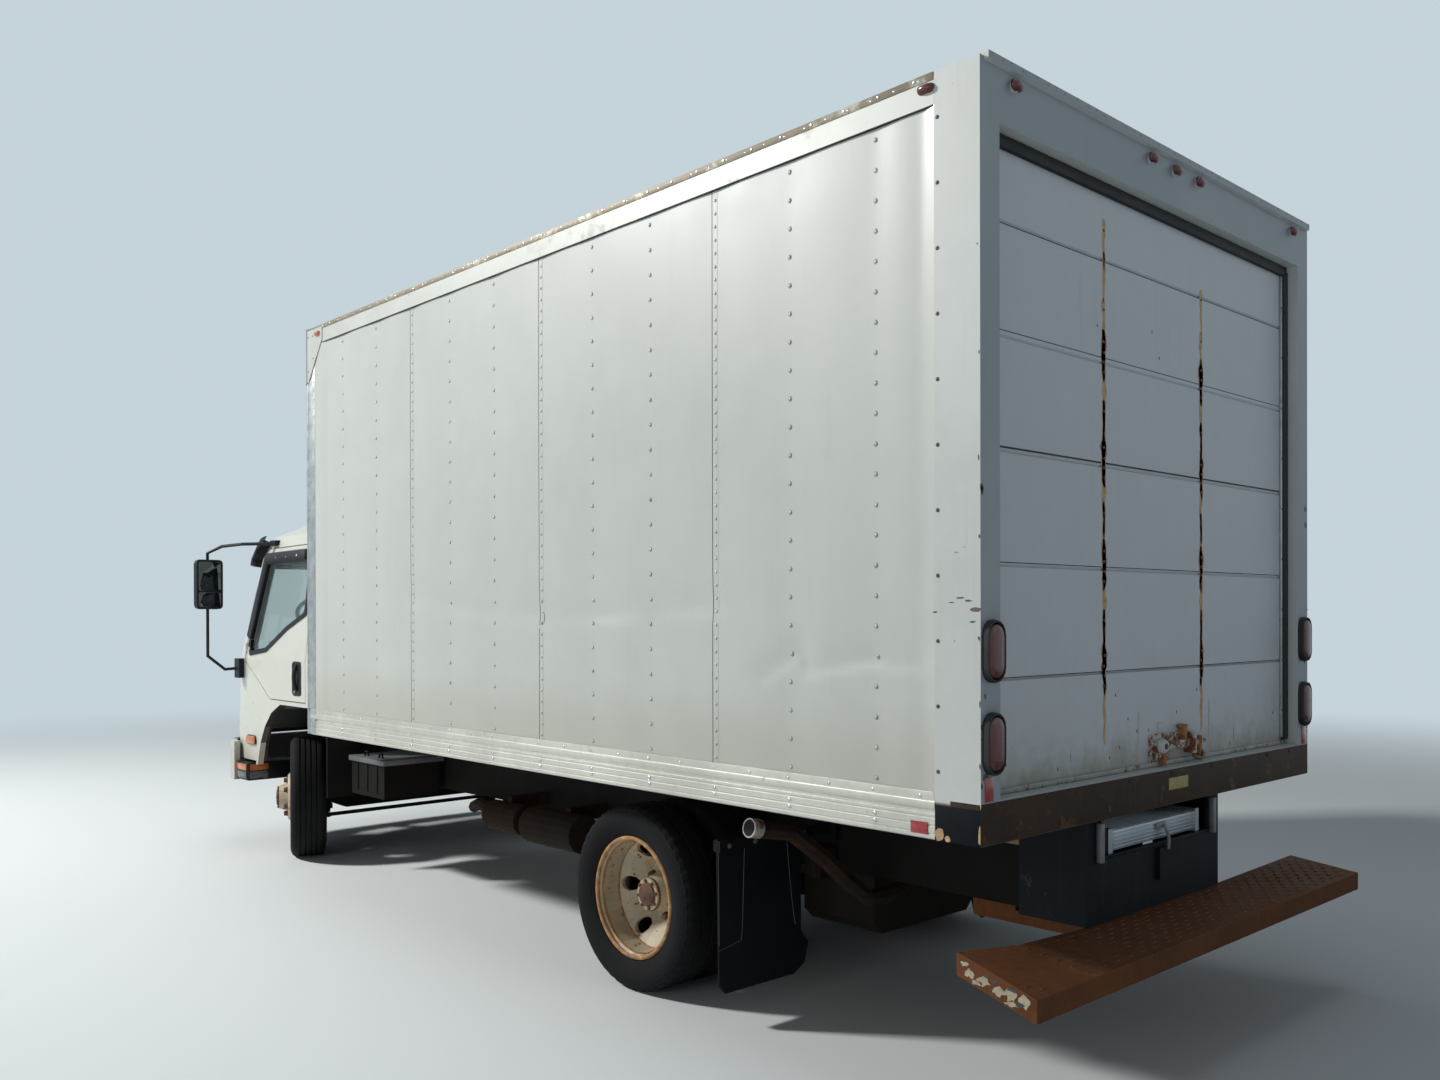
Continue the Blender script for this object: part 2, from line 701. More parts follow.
def front_bumper():
    """Painted bumper with its air slot, and the black entry steps behind its ends."""
    outer = bumper_outline(BUMPER_CORNER_R, BUMPER_FACE)
    inner = bumper_outline(BUMPER_CORNER_R - BUMPER_T, BUMPER_IN)
    ring = outer + [(x, -y) for x, y in reversed(outer[:-1])]
    ring += [(x, -y) for x, y in inner[:-1]] + list(reversed(inner))
    body = plate(ring, "XY", BUMPER_BOTTOM, BUMPER_TOP)
    slot = plate([(-0.50, 0.535), (0.50, 0.535), (0.55, 0.585), (0.50, 0.64), (-0.50, 0.64),
                  (-0.55, 0.585)],
                 "YZ", BUMPER_FACE - 0.020, 7.0)
    cut(body, [slot])
    for side in (1, -1):
        out = BUMPER_CORNER_Y + BUMPER_CORNER_R - BUMPER_T / 2
        y = tuple(sorted((0.72 * side, out * side)))
        fuse([body, block((6.245, BUMPER_END_X + 0.04), y, (BUMPER_BOTTOM + 0.01, 0.600))])
    return finish(body, "front_bumper", "cab_white")


# Body

def floor_structure():
    front = BOX_L - WALL - TOUCH
    half = BOX_HALF - BASE_RAIL_T - TOUCH
    pieces = [block((0.12 + TOUCH, front), (-half, half), (FLOOR_TOP - FLOOR_T, FLOOR_TOP))]
    count = int((front - 0.3) / SILL_PITCH)
    for i in range(count):
        x = 0.422 + i * SILL_PITCH
        pieces.append(block((x - 0.03, x + 0.03), (-half, half),
                            (BOX_BOTTOM + 0.004, FLOOR_TOP - FLOOR_T / 2)))
    stringer_low = RAIL_TOP + TOUCH
    for side in (1, -1):
        y = tuple(sorted(((FRAME_HALF - 0.062) * side, (FRAME_HALF - 0.002) * side)))
        pieces.append(block((FRAME_REAR + 0.01, front - 0.02), y, (stringer_low, BOX_BOTTOM + 0.02)))
    return finish(fuse(pieces), "box_floor", "steel")


def base_rail(side):
    """Extruded aluminium rail along the foot of a side, with its ridges."""
    face = BOX_HALF
    top = BOX_BOTTOM + BASE_RAIL_H
    sheet = face - SHEET_INSET
    outline = [(face - BASE_RAIL_T, BOX_BOTTOM), (face, BOX_BOTTOM), (face, BOX_BOTTOM + 0.012),
               (face - 0.003, BOX_BOTTOM + 0.016), (face - 0.003, BOX_BOTTOM + 0.080),
               (face - 0.006, BOX_BOTTOM + 0.086), (face, BOX_BOTTOM + 0.092), (face, BOX_BOTTOM + 0.110),
               (face - 0.002, BOX_BOTTOM + 0.116), (face, BOX_BOTTOM + 0.121), (face, top),
               (sheet + TOUCH, top), (sheet + TOUCH, BOX_BOTTOM + 0.105),
               (face - BASE_RAIL_T, BOX_BOTTOM + 0.105)]
    body = plate([(y * side, z) for y, z in outline], "YZ", STRIP_DEPTH + TOUCH, BOX_L - WALL - TOUCH)
    return finish(body, "base_rail_left" if side > 0 else "base_rail_right", "aluminium")


def side_panel(side):
    sheet = BOX_HALF - SHEET_INSET
    y = tuple(sorted((sheet * side, (sheet - WALL) * side)))
    low = BOX_BOTTOM + 0.105 + TOUCH
    high = BOX_TOP - 0.030 - TOUCH
    front = BOX_L - WALL - TOUCH
    body = block((STRIP_DEPTH + TOUCH, front), y, (low, high))
    strip = block((BOX_L - CORNER_STRIP, front),
                  tuple(sorted(((sheet - WALL / 2) * side, BOX_HALF * side))),
                  (BOX_BOTTOM + BASE_RAIL_H + TOUCH, BOX_TOP - TOP_RAIL_H - TOUCH))
    return finish(fuse([body, strip]), "side_panel_left" if side > 0 else "side_panel_right", "white")


def roof():
    """Roof skin with its bows, and the top rails along both sides."""
    front = BOX_L - WALL - TOUCH
    rear = STRIP_DEPTH + TOUCH
    sheet = BOX_HALF - SHEET_INSET
    pieces = [block((rear, front), (-BOX_HALF + 0.03, BOX_HALF - 0.03),
                    (BOX_TOP - 0.030, BOX_TOP - 0.006))]
    low = BOX_TOP - TOP_RAIL_H
    for side in (1, -1):
        outline = [(BOX_HALF, low), (BOX_HALF, BOX_TOP - 0.008), (BOX_HALF - 0.008, BOX_TOP),
                   (BOX_HALF - 0.05, BOX_TOP), (BOX_HALF - 0.05, BOX_TOP - 0.030),
                   (sheet + TOUCH, BOX_TOP - 0.030),
                   (sheet + TOUCH, low)]
        pieces.append(plate([(y * side, z) for y, z in outline], "YZ", rear, front))
    count = int((front - rear) / 0.6)
    for i in range(count):
        x = 0.6 + i * 0.6
        pieces.append(block((x - 0.02, x + 0.02), (-BOX_HALF + 0.10, BOX_HALF - 0.10),
                            (BOX_TOP - 0.06, BOX_TOP - 0.02)))
    return finish(fuse(pieces), "roof", "aluminium")


def front_wall():
    """Front wall with its rounded corner posts and nose cap."""
    corner = 0.05
    outline = [(BOX_L - WALL, BOX_HALF), (BOX_L - corner, BOX_HALF)]
    for i in range(1, 4):
        a = math.pi / 2 * i / 3
        outline.append((BOX_L - corner + corner * math.sin(a), BOX_HALF - corner + corner * math.cos(a)))
    outline = [(x, y) for x, y in outline if x >= BOX_L - WALL]
    ring = outline + [(x, -y) for x, y in reversed(outline)]
    pieces = [plate(ring, "XY", BOX_BOTTOM, BOX_TOP)]
    front = BOX_L - 0.018
    low = BOX_TOP - CAP_DOWN
    high = BOX_TOP - 0.010
    cap = [(front, low), (front, high), (BOX_L - CAP_BACK, high), (BOX_L - CAP_BACK, high - 0.075),
           (front - 0.012, low)]
    for side in (1, -1):
        out = (BOX_HALF + CAP_T) * side
        pieces.append(plate(cap, "XZ", *sorted(((BOX_HALF + TOUCH) * side, out))))
        pieces.append(block((BOX_L - WALL + 0.002, front), tuple(sorted(((BOX_HALF - 0.02) * side, out))),
                            (low, high)))
    return finish(fuse(pieces), "front_wall", "white")


TAIL_LAMPS = (
    # in from the side, height, half width, half height
    (0.054, 1.226, 0.046, 0.095),
    (0.054, 1.510, 0.046, 0.095),
)
TOP_LAMPS = (BOX_HALF - 0.176, 0.180, 0.0, -0.180, 0.176 - BOX_HALF)


def rounded(cx, cz, half_y, half_z, steps=3):
    """Outline of an upright lamp with fully rounded ends."""
    points = []
    for sign, start in ((1, 0), (-1, math.pi)):
        for i in range(steps * 2 + 1):
            a = start + math.pi * i / (steps * 2)
            points.append((cx + half_y * math.cos(a),
                           cz + sign * (half_z - half_y) + half_y * math.sin(a)))
    return points


def rear_frame():
    inner = BOX_HALF - POST_W
    strip_in = BOX_HALF - BASE_RAIL_T
    pieces = [block((0, 0.12), (-BOX_HALF, BOX_HALF), (BOX_BOTTOM, FLOOR_TOP)),
              block((0, POST_DEPTH), (-BOX_HALF, BOX_HALF), (HEADER_BOTTOM, BOX_TOP)),
              block((0.01, STRIP_DEPTH), (-BOX_HALF, BOX_HALF), (BOX_TOP - 0.045, BOX_TOP)),
              block((-0.018, 0.05), (-BOX_HALF + 0.02, BOX_HALF - 0.02),
                    (BOX_TOP - 0.012, BOX_TOP + GUTTER_RISE))]
    for side in (1, -1):
        pieces.append(block((0, POST_DEPTH), tuple(sorted((inner * side, BOX_HALF * side))),
                            (BOX_BOTTOM, BOX_TOP)))
        pieces.append(block((0.01, STRIP_DEPTH), tuple(sorted((strip_in * side, BOX_HALF * side))),
                            (BOX_BOTTOM, BOX_TOP)))
        for inset, z, half_y, half_z in TAIL_LAMPS:
            y = (BOX_HALF - inset) * side
            pieces.append(plate(rounded(y, z, half_y, half_z), "YZ", -0.018, 0.02))
    for y in TOP_LAMPS:
        pieces.append(rod((-0.016, y, BOX_TOP - 0.049), (0.02, y, BOX_TOP - 0.049), 0.020, 12))
    return finish(fuse(pieces), "rear_frame", "white")


def roll_up_door():
    low = FLOOR_TOP + TOUCH
    high = HEADER_BOTTOM + 0.07
    rear = POST_DEPTH + TOUCH
    half = BOX_HALF - BASE_RAIL_T - 0.006
    outline = [(rear + DOOR_T, low), (rear + DOOR_T, high), (rear, high)]
    pitch = (HEADER_BOTTOM - 0.03 - low) / (DOOR_PANELS - 0.35)
    for i in range(DOOR_PANELS - 1, 0, -1):
        z = low + i * pitch
        outline += [(rear, z + SEAM), (rear + SEAM, z), (rear, z - SEAM)]
    outline.append((rear, low))
    body = plate(outline, "XZ", -half, half)
    return finish(body, "roll_up_door", "white")


def door_latch():
    back = POST_DEPTH
    pieces = [block((back - 0.008, back), (-0.235, 0.09), (FLOOR_TOP + 0.045, FLOOR_TOP + 0.125)),
              block((back - 0.040, back - 0.004), (-0.15, 0.05), (FLOOR_TOP + 0.065, FLOOR_TOP + 0.105)),
              block((back - 0.030, back - 0.004), (0.0, 0.075), (FLOOR_TOP + 0.015, FLOOR_TOP + 0.10)),
              block((back - 0.055, back - 0.030), (-0.36, -0.12), (FLOOR_TOP + 0.075, FLOOR_TOP + 0.098)),
              rod((back - 0.05, -0.10, FLOOR_TOP + 0.06), (back - 0.05, -0.10, FLOOR_TOP + 0.17), 0.012,
                  10)]
    return finish(fuse(pieces), "door_latch", "white")


def rear_step():
    """Tread plate board, bent up a little at its ends, on two arms under the frame."""
    ends = ((-STEP_HALF, 0.012), (-0.52, 0.0), (0.52, 0.0), (0.90, 0.018), (STEP_HALF, 0.062))
    bm = bmesh.new()
    rings = []
    for y, lift in ends:
        front_top = STEP_TOP + STEP_RISE + lift
        ring = [(STEP_REAR, STEP_TOP - STEP_H), (STEP_REAR, STEP_TOP), (STEP_FRONT, front_top),
                (STEP_FRONT, front_top - STEP_H)]
        rings.append([bm.verts.new((x, y, z)) for x, z in ring])
    for first, second in zip(rings, rings[1:]):
        for i in range(4):
            j = (i + 1) % 4
            bm.faces.new((first[i], first[j], second[j], second[i]))
    bm.faces.new(rings[0])
    bm.faces.new(list(reversed(rings[-1])))
    bmesh.ops.recalc_face_normals(bm, faces=bm.faces)
    pieces = [raw_object("board", bm)]
    for side in (1, -1):
        y = tuple(sorted(((FRAME_HALF - 0.062) * side, (FRAME_HALF - 0.004) * side)))
        pieces.append(block((STEP_FRONT - 0.06, FRAME_REAR + 0.25), y,
                            (STEP_TOP + STEP_RISE - STEP_H + 0.012, STEP_TOP + STEP_RISE - 0.012)))
        pieces.append(block((FRAME_REAR + 0.06, FRAME_REAR + 0.25), y, (STEP_TOP, RAIL_BOTTOM - TOUCH)))
    return finish(fuse(pieces), "rear_step", "rust")


def ramp_housing():
    low = STEP_TOP + STEP_RISE + TOUCH
    high = BOX_BOTTOM - TOUCH
    front = FRAME_REAR - 0.010
    rear = HOUSING_REAR
    body = block((rear, front), (-HOUSING_HALF, HOUSING_HALF), (low, high))
    inside = block((rear + HOUSING_T, front + 0.1), (-HOUSING_HALF + HOUSING_T, HOUSING_HALF - HOUSING_T),
                   (low + HOUSING_T, high - HOUSING_T))
    window = block((rear - 0.1, rear + 0.1), (-RAMP_HALF - 0.06, RAMP_HALF + 0.06),
                   (RAIL_TOP, high - HOUSING_T - 0.01))
    cut(body, [inside, window])
    pull = block((rear - 0.016, rear + 0.004), (-0.06, 0.01), (RAIL_TOP - 0.14, RAIL_TOP - 0.02))
    pieces = [body, pull]
    for side in (1, -1):
        grip = tuple(sorted(((RAMP_HALF + 0.072) * side, (RAMP_HALF + 0.094) * side)))
        pieces.append(block((rear - 0.022, rear + 0.004), grip, (RAIL_TOP - 0.015, high - 0.030)))
    return finish(fuse(pieces), "ramp_housing", "black")


def ramp(holder):
    low = RAIL_TOP + TOUCH
    high = low + RAMP_H
    rear = HOUSING_REAR + 0.006
    front = rear + RAMP_L
    pieces = [block((rear, front), (-RAMP_HALF + 0.01, RAMP_HALF - 0.01), (high - 0.030, high - 0.012))]
    for side in (1, -1):
        pieces.append(block((rear, front), tuple(sorted(((RAMP_HALF - 0.03) * side, RAMP_HALF * side))),
                            (low, high)))
    for i in range(9):
        x = rear + 0.03 + i * (RAMP_L - 0.06) / 8
        pieces.append(block((x - 0.02, x + 0.02), (-RAMP_HALF + 0.01, RAMP_HALF - 0.01),
                            (low + 0.02, high - 0.02)))
    return finish(fuse(pieces), "ramp", "aluminium", holder)


# Wheels and steering

def tyre_profile(grooves):
    """Closed section of a tyre with grooves round its tread, as (radius, offset)."""
    half = TYRE_W / 2
    right = [(TYRE_R, TREAD_HALF), (TYRE_R - 0.016, half - 0.010), (TYRE_R - 0.070, half),
             (FLANGE_R + 0.022, half - 0.016), (FLANGE_R + TOUCH, RIM_W / 2 - 0.006)]
    left = [(radius, -offset) for radius, offset in reversed(right)]
    pitch = 2 * TREAD_HALF / (grooves + 1)
    tread = []
    for i in range(grooves):
        middle = pitch * (i + 1) - TREAD_HALF
        tread += [(TYRE_R, middle - GROOVE_HALF), (TYRE_R - GROOVE_DEPTH, middle),
                  (TYRE_R, middle + GROOVE_HALF)]
    return right + left + tread


def tyre(name, holder, offset, side, grooves):
    body = turned(tyre_profile(grooves), WHEEL_SIDES, (0, offset * side, 0))
    return finish(body, name, "rubber", holder, (0, 0, 0))


def rim_outside(middle, way):
    """Outside of a rim, from its edge on the side named by way to the other."""
    bead = RIM_W / 2 * way
    wall = FLANGE_R - RIM_T
    return [(wall, middle + bead - 0.020 * way), (FLANGE_R, middle + bead), (FLANGE_R, middle - bead),
            (wall, middle - bead + 0.020 * way)]


def disc_side(middle, way, skin):
    """One skin of the dished disc, from the rim's wall in to the mounting face."""
    wall = FLANGE_R - RIM_T
    outer = 0.028 + 0.012 * skin
    return [(wall, middle + (outer + (DISC_T * 0.5 if skin else 0)) * way),
            (0.205 + 0.005 * skin, middle + (DISC_CROWN + DISC_T * skin) * way),
            (0.138 + 0.008 * skin, middle + (DISC_SET - DISC_T * (1 - skin)) * way)]


def front_wheel_profile():
    """Closed half section of a front wheel, its hub and its brake drum, as (radius, offset)."""
    points = rim_outside(0.0, 1) + disc_side(0.0, 1, 0)
    points += [(DRUM_FRONT_R, DISC_SET - DISC_T), (DRUM_FRONT_R, DRUM_FRONT_IN), (0.0, DRUM_FRONT_IN),
               (0.0, DISC_SET + 0.055),
               (0.075, DISC_SET + 0.055), (HUB_R, DISC_SET)]
    return points + list(reversed(disc_side(0.0, 1, 1)))


def rear_wheels_profile():
    """Closed half section of twin wheels bolted back to back on one hub and drum."""
    outer = DUAL_SPACING / 2
    inner = -DUAL_SPACING / 2
    points = rim_outside(outer, 1) + disc_side(outer, -1, 1)
    points += [(0.100, outer - DISC_SET), (0.100, inner + DISC_SET)]
    points += list(reversed(disc_side(inner, 1, 1))) + rim_outside(inner, 1) + disc_side(inner, 1, 0)
    points += [(DRUM_REAR_R, inner + DISC_SET - DISC_T), (DRUM_REAR_R, inner - DRUM_REAR_IN),
               (0.0, inner - DRUM_REAR_IN),
               (0.0, 0.130), (0.070, 0.130), (HUB_R, outer - DISC_SET + DISC_T)]
    return points + list(reversed(disc_side(outer, -1, 0)))


def hand_holes(offset):
    holes = []
    for i in range(HAND_HOLES):
        a = 2 * math.pi * (i + HOLE_PHASE) / HAND_HOLES
        x = HAND_HOLE_PITCH_R * math.cos(a)
        z = HAND_HOLE_PITCH_R * math.sin(a)
        holes.append(rod((x, offset - 0.05, z), (x, offset + 0.05, z), HAND_HOLE_R, 10))
    return holes


def wheel(name, profile, side, hole_offset, holder):
    """A turned wheel, on the left when side is 1, with its hand holes."""
    body = turned([(radius, offset * side) for radius, offset in profile], WHEEL_SIDES)
    cut(body, hand_holes(hole_offset * side))
    return finish(body, name, "cream", holder, (0, 0, 0))


ARM_BACK = 0.165
ARM_IN = 0.0              # both arms point straight back, so the rod fits at every angle
ARM_Z = -0.095
TIE_R = 0.016
SPINDLE_R = 0.030


def knuckle(side, holder):
    """Fork round the axle's boss, spindle for the wheel and arm for the tie rod."""
    low = -BOSS_HALF - TOUCH - EAR_T
    high = BOSS_HALF + TOUCH + EAR_T
    pieces = [rod((0, 0, low), (0, 0, -BOSS_HALF - TOUCH), BOSS_R + 0.006, 20),
              rod((0, 0, BOSS_HALF + TOUCH), (0, 0, high), BOSS_R + 0.006, 20),
              block((-0.036, 0.036), (0.0, 0.075), (low, -BOSS_HALF - TOUCH)),
              block((-0.036, 0.036), (0.0, 0.075), (BOSS_HALF + TOUCH, high)),
              block((-0.042, 0.042), (0.050, 0.085), (low, high)),
              rod((0, 0.07, 0), (0, FRONT_TRACK / 2 - KINGPIN_Y + DRUM_FRONT_IN - PIN_FIT, 0), SPINDLE_R,
                  16)]
    arm = [(-ARM_BACK - 0.02, -ARM_IN - 0.022), (-ARM_BACK - 0.02, -ARM_IN + 0.022), (-0.02, 0.07),
           (0.03, 0.07),
           (0.03, 0.02), (-0.03, -0.01)]
    pieces.append(plate(arm, "XY", ARM_Z + 0.005, ARM_Z + 0.027))
    pieces.append(rod((-ARM_BACK, -ARM_IN, ARM_Z - 0.030), (-ARM_BACK, -ARM_IN, ARM_Z + 0.012), 0.010,
                      12))
    body = fuse(pieces)
    if side < 0:
        left = body
        body = mirrored(left)
        bpy.data.objects.remove(left, do_unlink=True)
    return finish(body, "knuckle_left" if side > 0 else "knuckle_right", "steel", holder, (0, 0, 0))


def tie_rod(holder, left, right):
    z = ARM_Z - 0.016
    eye = 0.010 + PIN_FIT
    span = right - left
    pieces = [rod((0, 0, z - 0.014), (0, 0, z + 0.014), 0.024, 16),
              rod((span.x, span.y, z - 0.014), (span.x, span.y, z + 0.014), 0.024, 16),
              rod((span.x * 0.012, span.y * 0.012, z), (span.x * 0.988, span.y * 0.988, z), TIE_R * 0.8,
                  12)]
    body = fuse(pieces)
    cut(body, [rod((0, 0, z - 0.1), (0, 0, z + 0.1), eye, 12),
               rod((span.x, span.y, z - 0.1), (span.x, span.y, z + 0.1), eye, 12)])
    return finish(body, "tie_rod", "steel", holder, (0, 0, 0))


def running_gear():
    for side, word in ((1, "left"), (-1, "right")):
        middle = REAR_TRACK / 2 * side
        hub = empty("axis_rear_" + word, (REAR_AXLE_X, middle, AXLE_Z), truck)
        wheel("wheels_rear_" + word, rear_wheels_profile(), side, DUAL_SPACING / 2 - DISC_CROWN - 0.01,
              hub)
        tyre("tyre_rear_" + word + "_outer", hub, DUAL_SPACING / 2, side, OUTER_GROOVES)
        tyre("tyre_rear_" + word + "_inner", hub, -DUAL_SPACING / 2, side, INNER_GROOVES)
        pin = empty("axis_steer_" + word, (FRONT_AXLE_X, KINGPIN_Y * side, AXLE_Z), truck, STEER_REST)
        knuckle(side, pin)
        spin = empty("axis_front_" + word, (0, (FRONT_TRACK / 2 - KINGPIN_Y) * side, 0), pin)
        wheel("wheel_front_" + word, front_wheel_profile(), side, DISC_CROWN + 0.01, spin)
        tyre("tyre_front_" + word, spin, 0.0, side, FRONT_GROOVES)
    turn = Matrix.Rotation(STEER_REST, 3, "Z")
    left = Vector((FRONT_AXLE_X, KINGPIN_Y, AXLE_Z)) + turn @ Vector((-ARM_BACK, -ARM_IN, 0))
    right = Vector((FRONT_AXLE_X, -KINGPIN_Y, AXLE_Z)) + turn @ Vector((-ARM_BACK, ARM_IN, 0))
    tie = empty("axis_tie_rod", left, truck)
    tie_rod(tie, left, right)


# Cab

CAB_SECTIONS = (
    # height, rear, front, half width, front corner radius
    (0.620, 0.000, -0.005, -0.010, 0.330),
    (0.800, 0.000, 0.000, 0.000, 0.330),
    (1.320, 0.000, -0.025, 0.000, 0.340),
    (2.020, 0.020, -0.300, -0.065, 0.300),
    (2.160, 0.050, -0.410, -0.110, 0.280),
    (2.245, 0.150, -0.620, -0.270, 0.220),
)


def plan_outline(rear, front, half, corner, back_corner):
    points = []
    bow = 0.025
    for i in range(5):
        a = math.pi / 2 * i / 4
        points.append((front - bow - corner + corner * math.sin(a), half - corner + corner * math.cos(a)))
    points.append((front, 0.0))
    points += [(x, -y) for x, y in reversed(points[:-1])]
    for i in range(2):
        a = math.pi / 2 * i
        points.append((rear + back_corner - back_corner * math.sin(a),
                       -half + back_corner - back_corner * math.cos(a)))
    for i in range(2):
        a = math.pi / 2 * i
        points.append((rear + back_corner - back_corner * math.cos(a),
                       half - back_corner + back_corner * math.sin(a)))
    return points


def cab_form(inset, bottom=None, top=None):
    """The cab's outer form, drawn in on every side by inset."""
    sections = []
    for height, rear, front, half, corner in CAB_SECTIONS:
        z = height + CAB_TOP - 2.245 if height > 1.4 else height
        if height == CAB_SECTIONS[-1][0]:
            z -= inset
        outline = plan_outline(CAB_REAR + rear + inset, CAB_NOSE + front - inset, CAB_HALF + half - inset,
                               corner - inset * 0.8, 0.07 - inset * 0.8)
        sections.append((z, outline))
    return loft(sections)


DOOR_OUTLINE = ((5.363, 1.062), (5.930, 1.062), (6.120, 1.175), (DOOR_HINGE_X - 0.004, 1.300),
                (DOOR_HINGE_X - 0.004, 1.430), (6.150, 2.075), (5.440, 2.085), (5.363, 2.020))
WINDOW_OUTLINE = ((5.425, 1.640), (5.700, 1.545), (6.010, 1.400), (6.262, 1.372), (6.285, 1.420),
                  (6.085, 2.015), (5.480, 2.025), (5.415, 1.960))
ARCH_OUTLINE = ((4.90, 0.0), (4.90, ARCH_TOP), (5.760, ARCH_TOP), (5.900, 0.985), (6.010, 0.880),
                (6.085, 0.760), (6.135, 0.600), (6.150, 0.0))
LIP_OUTLINE = ((5.300, ARCH_TOP - 0.018), (5.740, ARCH_TOP - 0.018), (5.890, 0.968), (6.000, 0.868),
               (6.075, 0.752),
               (6.125, 0.600), (6.155, 0.600), (6.105, 0.768), (6.028, 0.892), (5.912, 1.002),
               (5.765, ARCH_TOP + 0.003),
               (5.300, ARCH_TOP + 0.003))
DEFLECTOR_OUTLINE = ((6.305, 1.480), (6.105, 2.045), (5.450, 2.052), (5.450, 1.980), (6.055, 1.970),
                     (6.240, 1.455))
ROOM_OUTLINE = ((CAB_REAR - 0.5, FLOOR_CAB + CAB_WALL), (5.800, FLOOR_CAB + CAB_WALL), (6.060, 0.900),
                (6.200, FOOT_Z + CAB_WALL), (7.2, FOOT_Z + CAB_WALL), (7.2, 3.0), (CAB_REAR - 0.5, 3.0))


def grown(outline, by):
    """An outline pushed out by a gap, each corner away from the middle of its two sides."""
    count = len(outline)
    area = 0.0
    for i in range(count):
        x0, z0 = outline[i]
        x1, z1 = outline[(i + 1) % count]
        area += x0 * z1 - x1 * z0
    sign = 1.0 if area > 0 else -1.0
    result = []
    for i in range(count):
        before = Vector(outline[i - 1])
        here = Vector(outline[i])
        after = Vector(outline[(i + 1) % count])
        d0 = (here - before).normalized()
        d1 = (after - here).normalized()
        n0 = Vector((d0.y, -d0.x)) * sign
        n1 = Vector((d1.y, -d1.x)) * sign
        n = (n0 + n1).normalized()
        result.append(tuple(here + n * (by / max(0.3, n.dot(n0)))))
    return result


def four_corners(low_in, high_in, low_z, high_z):
    """A window or panel across the cab, given how far its corners stay inside the cab's sides."""
    low = CAB_HALF - low_in
    high = CAB_HALF - high_in
    return ((-low, low_z), (low, low_z), (high, high_z), (-high, high_z))


SCREEN_OUTLINE = four_corners(0.100, 0.170, 1.345, 1.985)
BACK_WINDOW = four_corners(0.410, 0.430, 1.500, 1.930)
PANEL_OUTLINE = four_corners(0.330, 0.310, 0.765, 1.305)


def interior():
    room = cab_form(CAB_WALL)
    side = plate(ROOM_OUTLINE, "XZ", -2.0, 2.0)
    boolean(room, side, "INTERSECT")
    half = TUNNEL_HALF + CAB_WALL
    hump = block((ENGINE_X[0] - 0.2, ENGINE_X[1] + 0.02 + CAB_WALL * 0.8), (-half, half),
                 (0.5, ENGINE_TOP + 0.02 + CAB_WALL * 0.8))
    return cut(room, [hump])


def cab_shell():
    """The whole welded cab before its doors and front panel are split from it."""
    shell = cab_form(0.0)
    arch = plate(ARCH_OUTLINE, "XZ", -2.0, 2.0)
    under = cab_form(CAB_WALL)
    low = block((4.8, 7.2), (-2, 2), (0.0, FOOT_Z))
    boolean(under, low, "INTERSECT")
    drop = copy_of(under)
    moved(drop, (0, 0, -0.10))
    tunnel = block((CAB_REAR - 0.3, ENGINE_X[1] + 0.02), (-TUNNEL_HALF, TUNNEL_HALF),
                   (0.4, ENGINE_TOP + 0.02))
    sill = block((6.40, 7.2), (0.17 - CAB_HALF, CAB_HALF - 0.17), (0.3, 0.760))
    cut(shell, [interior(), arch, under, drop, tunnel, sill])
    return shell


def hinge_barrels(side):
    """Barrel parts of the two door hinges: the cab's pins and the door's knuckles."""
    y = CAB_HALF - HINGE_IN
    fixed = []
    moving = []
    for z in HINGE_Z:
        fixed.append(rod((DOOR_HINGE_X, y * side, z - 0.010), (DOOR_HINGE_X, y * side, z + 0.010), 0.011,
                         12))
        fixed.append(block((DOOR_HINGE_X, DOOR_HINGE_X + 0.05),
                           tuple(sorted(((y - 0.012) * side, (y - 0.002) * side))),
                           (z - 0.010, z + 0.010)))
        for end in (-1, 1):
            low = z + end * (0.010 + TOUCH)
            high = z + end * 0.028
            span = tuple(sorted((low, high)))
            moving.append(rod((DOOR_HINGE_X, y * side, span[0]), (DOOR_HINGE_X, y * side, span[1]), 0.011,
                              12))
            moving.append(block((DOOR_HINGE_X - 0.05, DOOR_HINGE_X),
                                tuple(sorted(((y - 0.012) * side, (y - 0.002) * side))),
                                span))
    return fixed, moving


def hinge_pockets(side):
    y = CAB_HALF - HINGE_IN
    return [rod((DOOR_HINGE_X, y * side, HINGE_Z[0] - 0.034),
                (DOOR_HINGE_X, y * side, HINGE_Z[1] + 0.034), 0.018, 14)]


def door_slab(side, outline):
    return plate(outline, "XZ", *sorted(((CAB_HALF - 0.43) * side, (CAB_HALF + 0.57) * side)))


def floor_inside():
    """The cab's floor inside the doors, which stays on the cab when the openings are cut."""
    inside = cab_form(CAB_WALL + SHUT)
    return boolean(inside, block((4.8, 7.2), (-2, 2), (0.5, FLOOR_CAB + CAB_WALL + 0.2)), "INTERSECT")


def glass_sheet(cutter, depth):
    sheet = cab_form(depth)
    core = cab_form(depth + GLASS_T)
    cut(sheet, [core])
    return boolean(sheet, cutter, "INTERSECT")


def window_ring(outline, inset):
    return grown(outline, -inset)


def window_frame(side):
    """Black frame round a door's window, with the rain deflector along its front and top."""
    frame = cab_form(-FRAME_PROUD)
    cut(frame, [cab_form(0.006)])
    boolean(frame, door_slab(side, grown(WINDOW_OUTLINE, FRAME_W)), "INTERSECT")
    cut(frame, [door_slab(side, grown(WINDOW_OUTLINE, 0.003))])
    deflector = cab_form(-DEFLECTOR_PROUD)
    cut(deflector, [cab_form(0.004)])
    boolean(deflector, door_slab(side, DEFLECTOR_OUTLINE), "INTERSECT")
    return [frame, deflector]


